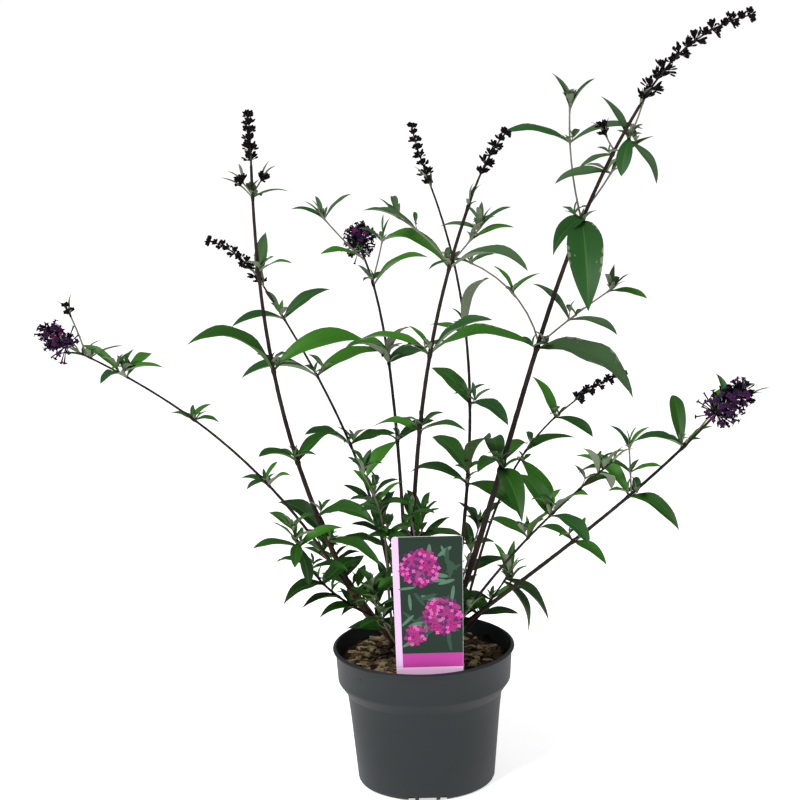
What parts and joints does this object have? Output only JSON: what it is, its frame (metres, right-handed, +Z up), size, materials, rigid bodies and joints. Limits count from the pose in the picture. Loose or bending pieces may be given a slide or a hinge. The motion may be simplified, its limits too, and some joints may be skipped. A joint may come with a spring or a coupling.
{
  "type": "potted butterfly bush",
  "caption": "Young butterfly bush with arching stems, grey-green leaves and purple flower heads, in a round plastic nursery pot with a plant label.",
  "frame": {"origin": "centre of the pot's flat underside, on the ground", "axes": "+Z up; +X to the right and +Y away, seen from the side of the plant label"},
  "size_m": [0.7116, 0.4718, 0.8148],
  "materials": {
    "pot": "dark slate grey moulded polypropylene, matte",
    "potting_mix": "loose bark and peat, rough",
    "plant_label": "printed plastic card, smooth",
    "woody_base": "old brown bark, rough",
    "stem": "dark purple-brown young wood, downy",
    "foliage": "soft grey-green leaves with purple flowers, matte"
  },
  "bodies": {
    "root": {"foliage_centre": "foliage", "foliage_centre_back": "foliage", "foliage_centre_thin": "foliage", "foliage_left_low": "foliage", "foliage_left_short": "foliage", "foliage_left_tall": "foliage", "foliage_left_thin": "foliage", "foliage_right_back": "foliage", "foliage_right_front": "foliage", "foliage_right_low": "foliage", "foliage_right_short": "foliage", "foliage_right_tall": "foliage", "plant_label": "plant_label", "pot": "pot", "potting_mix": "potting_mix", "stem_centre": "stem", "stem_centre_back": "stem", "stem_centre_thin": "stem", "stem_left_low": "stem", "stem_left_short": "stem", "stem_left_tall": "stem", "stem_left_thin": "stem", "stem_right_back": "stem", "stem_right_front": "stem", "stem_right_low": "stem", "stem_right_short": "stem", "stem_right_tall": "stem", "tuft_centre_front": "foliage", "tuft_centre_left": "foliage", "tuft_centre_rear": "foliage", "tuft_left_front": "foliage", "tuft_left_inner": "foliage", "tuft_left_outer": "foliage", "tuft_right_inner": "foliage", "tuft_right_low_front": "foliage", "woody_base": "woody_base"}
  },
  "joints": []
}
